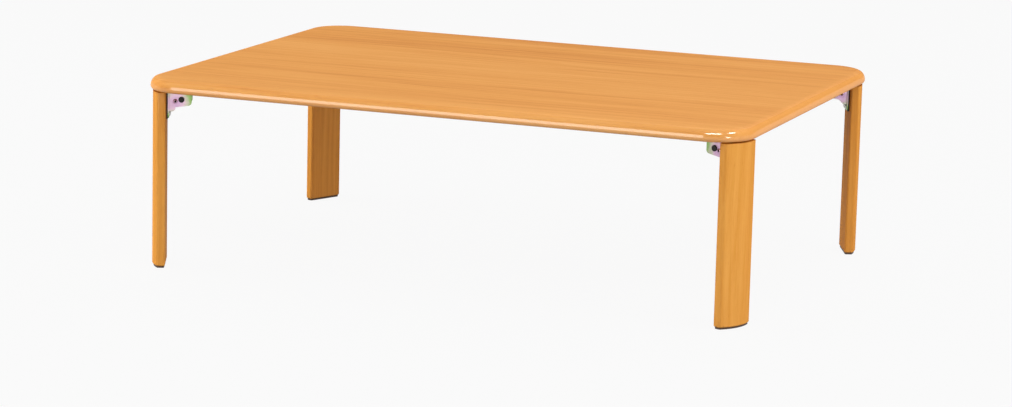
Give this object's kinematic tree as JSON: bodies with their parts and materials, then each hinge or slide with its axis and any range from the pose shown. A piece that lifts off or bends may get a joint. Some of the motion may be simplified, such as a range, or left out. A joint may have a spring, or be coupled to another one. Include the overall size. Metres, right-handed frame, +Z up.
{
  "type": "folding low table",
  "caption": "Low rectangular floor-sitting table in honey-coloured wood, with a rounded edge and plank legs that fold flat under the top on sprung steel brackets.",
  "frame": {"origin": "on the floor under the middle of the top", "axes": "+X along the long side of the top, +Y along its short side away from the viewer of the picture, +Z up"},
  "size_m": [1.05, 0.75, 0.32],
  "materials": {
    "top_wood": "semi-gloss clear lacquer over honey-stained wood",
    "leg_wood": "semi-gloss clear lacquer over honey-stained wood",
    "foot_pad": "matt dark brown",
    "backing_pad": "matt black",
    "plated_steel": "zinc plate with a faint rainbow tint",
    "fastener_steel": "zinc plate",
    "dark_pin_steel": "blackened steel",
    "spring_steel": "bright wire"
  },
  "bodies": {
    "top": {"table_top": "top_wood", "base_bracket_front_left": "plated_steel", "pivot_rivets_front_left": "fastener_steel", "spring_post_front_left": "dark_pin_steel", "base_screws_front_left": "fastener_steel", "base_bracket_front_right": "plated_steel", "pivot_rivets_front_right": "fastener_steel", "spring_post_front_right": "dark_pin_steel", "base_screws_front_right": "fastener_steel", "base_bracket_back_left": "plated_steel", "pivot_rivets_back_left": "fastener_steel", "spring_post_back_left": "dark_pin_steel", "base_screws_back_left": "fastener_steel", "base_bracket_back_right": "plated_steel", "pivot_rivets_back_right": "fastener_steel", "spring_post_back_right": "dark_pin_steel", "base_screws_back_right": "fastener_steel"},
    "leg_front_left": {"leg_front_left": "leg_wood", "foot_pad_front_left": "foot_pad", "backing_pad_front_left": "backing_pad", "leg_bracket_front_left": "plated_steel", "spring_pin_front_left": "dark_pin_steel", "leg_screws_front_left": "fastener_steel"},
    "spring_front_left": {"spring_front_left": "spring_steel"},
    "leg_front_right": {"leg_front_right": "leg_wood", "foot_pad_front_right": "foot_pad", "backing_pad_front_right": "backing_pad", "leg_bracket_front_right": "plated_steel", "spring_pin_front_right": "dark_pin_steel", "leg_screws_front_right": "fastener_steel"},
    "spring_front_right": {"spring_front_right": "spring_steel"},
    "leg_back_left": {"leg_back_left": "leg_wood", "foot_pad_back_left": "foot_pad", "backing_pad_back_left": "backing_pad", "leg_bracket_back_left": "plated_steel", "spring_pin_back_left": "dark_pin_steel", "leg_screws_back_left": "fastener_steel"},
    "spring_back_left": {"spring_back_left": "spring_steel"},
    "leg_back_right": {"leg_back_right": "leg_wood", "foot_pad_back_right": "foot_pad", "backing_pad_back_right": "backing_pad", "leg_bracket_back_right": "plated_steel", "spring_pin_back_right": "dark_pin_steel", "leg_screws_back_right": "fastener_steel"},
    "spring_back_right": {"spring_back_right": "spring_steel"}
  },
  "joints": [
    {"name": "leg_fold_front_left", "type": "hinge", "parent": "top", "child": "leg_front_left", "pos_m": [-0.48093, -0.31876, 0.2795], "axis": [0.4067, -0.9135, 0], "range_deg": [0, 90]},
    {"name": "spring_swing_front_left", "type": "hinge", "parent": "top", "child": "spring_front_left", "pos_m": [-0.47179, -0.31469, 0.2825], "axis": [0.4067, -0.9135, 0], "range_deg": [0, 32.33]},
    {"name": "leg_fold_front_right", "type": "hinge", "parent": "top", "child": "leg_front_right", "pos_m": [0.48093, -0.31876, 0.2795], "axis": [0.4067, 0.9135, 0], "range_deg": [0, 90]},
    {"name": "spring_swing_front_right", "type": "hinge", "parent": "top", "child": "spring_front_right", "pos_m": [0.47179, -0.31469, 0.2825], "axis": [0.4067, 0.9135, 0], "range_deg": [0, 32.33]},
    {"name": "leg_fold_back_left", "type": "hinge", "parent": "top", "child": "leg_back_left", "pos_m": [-0.48093, 0.31876, 0.2795], "axis": [-0.4067, -0.9135, 0], "range_deg": [0, 90]},
    {"name": "spring_swing_back_left", "type": "hinge", "parent": "top", "child": "spring_back_left", "pos_m": [-0.47179, 0.31469, 0.2825], "axis": [-0.4067, -0.9135, 0], "range_deg": [0, 32.33]},
    {"name": "leg_fold_back_right", "type": "hinge", "parent": "top", "child": "leg_back_right", "pos_m": [0.48093, 0.31876, 0.2795], "axis": [-0.4067, 0.9135, 0], "range_deg": [0, 90]},
    {"name": "spring_swing_back_right", "type": "hinge", "parent": "top", "child": "spring_back_right", "pos_m": [0.47179, 0.31469, 0.2825], "axis": [-0.4067, 0.9135, 0], "range_deg": [0, 32.33]}
  ],
  "couplings": [
    {"joint": "spring_swing_front_left", "follows": "leg_fold_front_left", "ratio": 0.35815},
    {"joint": "spring_swing_front_right", "follows": "leg_fold_front_right", "ratio": 0.35815},
    {"joint": "spring_swing_back_left", "follows": "leg_fold_back_left", "ratio": 0.35815},
    {"joint": "spring_swing_back_right", "follows": "leg_fold_back_right", "ratio": 0.35815}
  ]
}
